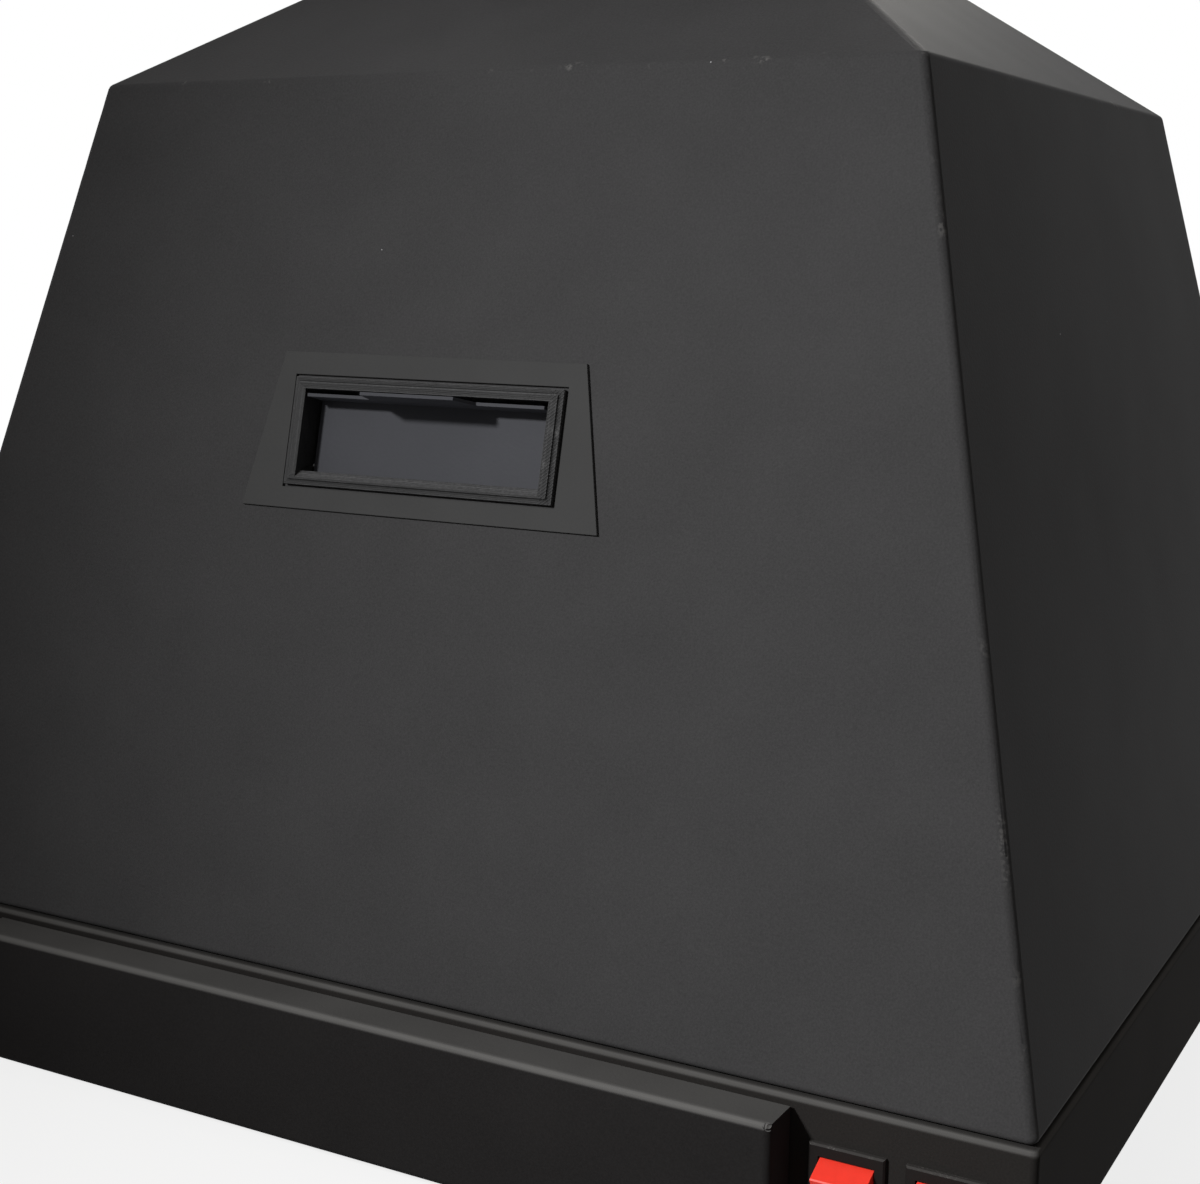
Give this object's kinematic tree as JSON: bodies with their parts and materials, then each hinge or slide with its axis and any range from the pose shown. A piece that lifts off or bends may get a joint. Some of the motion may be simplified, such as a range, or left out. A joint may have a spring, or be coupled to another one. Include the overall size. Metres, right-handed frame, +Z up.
{
  "type": "thin-layer chromatography imager",
  "caption": "Black sheet-metal dark cabinet that images thin-layer plates: pyramid hood on a flat base, sample drawer, shuttered window, red rocker switches and a camera turret.",
  "frame": {"origin": "on the bench, at the middle of the footprint, drawer front and rear screw heads included", "axes": "+Z up, -Y towards the operator (drawer, switches and window side), +X to the operator's right"},
  "size_m": [0.5, 0.5008, 0.5603],
  "materials": {
    "hood_coat": "fine matte black powder coat",
    "base_coat": "fine matte black powder coat",
    "drawer_coat": "fine matte black powder coat",
    "printed_black": "layered matte black",
    "surround_black": "smooth matte black",
    "flap_grey": "matte slate grey",
    "switch_black": "semi-gloss black",
    "rocker_red": "translucent red",
    "zinc_steel": "zinc plated",
    "screw_black": "black oxide",
    "plated_brass": "plated",
    "inner_black": "light-absorbing matte black",
    "tray_steel": "matte black",
    "stage_board": "light-absorbing matte black",
    "rubber_black": "matte",
    "foam_black": "closed-cell foam",
    "amber_pane": "ultraviolet blocking",
    "lens_coated": "coated",
    "filter_coated": "ultraviolet blocking",
    "clear_quartz": "clear",
    "violet_glass": "deep violet",
    "polished_aluminium": "polished",
    "black_aluminium": "black anodised",
    "socket_white": "matte",
    "board_green": "solder mask",
    "ballast_white": "satin",
    "inlet_black": "moulded",
    "fan_black": "moulded",
    "port_steel": "plated"
  },
  "bodies": {
    "cabinet": {"base_shell": "base_coat", "bottom_plate": "base_coat", "rubber_feet": "rubber_black", "underside_screws": "screw_black", "hood_gasket": "foam_black", "hood_shell": "hood_coat", "hood_screws": "screw_black", "roof_shell": "hood_coat", "window_surround": "surround_black", "window_frame": "printed_black", "window_pane": "amber_pane", "pane_retainer": "printed_black", "flap_pins": "zinc_steel", "rocker_case_left": "switch_black", "rocker_case_right": "switch_black", "switch_terminals": "plated_brass", "slide_outers": "zinc_steel", "slide_brackets": "inner_black", "power_supply": "polished_aluminium", "lamp_ballasts": "ballast_white", "control_board": "board_green", "board_pillars": "plated_brass", "lamp_troughs": "inner_black", "lamp_reflectors": "polished_aluminium", "short_wave_tubes": "clear_quartz", "long_wave_tubes": "violet_glass", "tube_sockets": "socket_white", "led_bars": "socket_white", "camera_housing": "hood_coat", "housing_lid": "hood_coat", "camera_plate": "inner_black", "turret_screws": "screw_black", "camera_body": "black_aluminium", "camera_bracket": "black_aluminium", "lens_barrel": "black_aluminium", "lens_glass": "lens_coated", "filter_ring": "black_aluminium", "filter_glass": "filter_coated", "inlet_socket": "inlet_black", "inlet_pins": "plated_brass", "data_socket": "port_steel", "fan_frame": "fan_black", "fan_guard": "port_steel", "rear_screws": "screw_black"},
    "slide_middles": {"slide_middles": "zinc_steel"},
    "drawer": {"drawer_front": "drawer_coat", "drawer_seal": "foam_black", "drawer_tray": "tray_steel", "drawer_nuts": "zinc_steel", "sample_stage": "stage_board", "stage_posts": "polished_aluminium", "slide_inners": "zinc_steel"},
    "flap": {"window_flap": "flap_grey"},
    "rocker_left": {"rocker_left": "rocker_red"},
    "rocker_right": {"rocker_right": "rocker_red"},
    "focus_ring": {"focus_ring": "black_aluminium"},
    "zoom_ring": {"zoom_ring": "black_aluminium"},
    "iris_ring": {"iris_ring": "black_aluminium"},
    "fuse_drawer": {"fuse_drawer": "inlet_black"},
    "fan_rotor": {"fan_rotor": "fan_black"}
  },
  "joints": [
    {"name": "drawer_slide", "type": "slide", "parent": "cabinet", "child": "drawer", "axis": [0, -1, 0], "range_m": [0, 0.34]},
    {"name": "slide_follow", "type": "slide", "parent": "cabinet", "child": "slide_middles", "axis": [0, -1, 0], "range_m": [0, 0.17]},
    {"name": "flap_hinge", "type": "hinge", "parent": "cabinet", "child": "flap", "pos_m": [0, -0.18102, 0.24196], "axis": [1, 0, 0], "range_deg": [0, 90]},
    {"name": "rocker_left_tilt", "type": "hinge", "parent": "cabinet", "child": "rocker_left", "pos_m": [0.19035, -0.23108, 0.0322], "axis": [-1, 0, 0], "range_deg": [0, 26]},
    {"name": "rocker_right_tilt", "type": "hinge", "parent": "cabinet", "child": "rocker_right", "pos_m": [0.22245, -0.23108, 0.0322], "axis": [-1, 0, 0], "range_deg": [0, 26]},
    {"name": "focus_turn", "type": "hinge", "parent": "cabinet", "child": "focus_ring", "pos_m": [0, 0.01142, 0.44979], "axis": [0, 0, 1], "range_deg": [-60, 60]},
    {"name": "zoom_turn", "type": "hinge", "parent": "cabinet", "child": "zoom_ring", "pos_m": [0, 0.01142, 0.46829], "axis": [0, 0, 1], "range_deg": [-35, 35]},
    {"name": "iris_turn", "type": "hinge", "parent": "cabinet", "child": "iris_ring", "pos_m": [0, 0.01142, 0.48329], "axis": [0, 0, 1], "range_deg": [-30, 30]},
    {"name": "fuse_pull", "type": "slide", "parent": "cabinet", "child": "fuse_drawer", "axis": [0, 1, 0], "range_m": [0, 0.018]},
    {"name": "fan_spin", "type": "hinge", "parent": "cabinet", "child": "fan_rotor", "pos_m": [0.205, 0.23592, 0.03825], "axis": [0, 1, 0], "continuous": true}
  ],
  "couplings": [
    {"joint": "slide_follow", "follows": "drawer_slide", "ratio": 0.5}
  ]
}
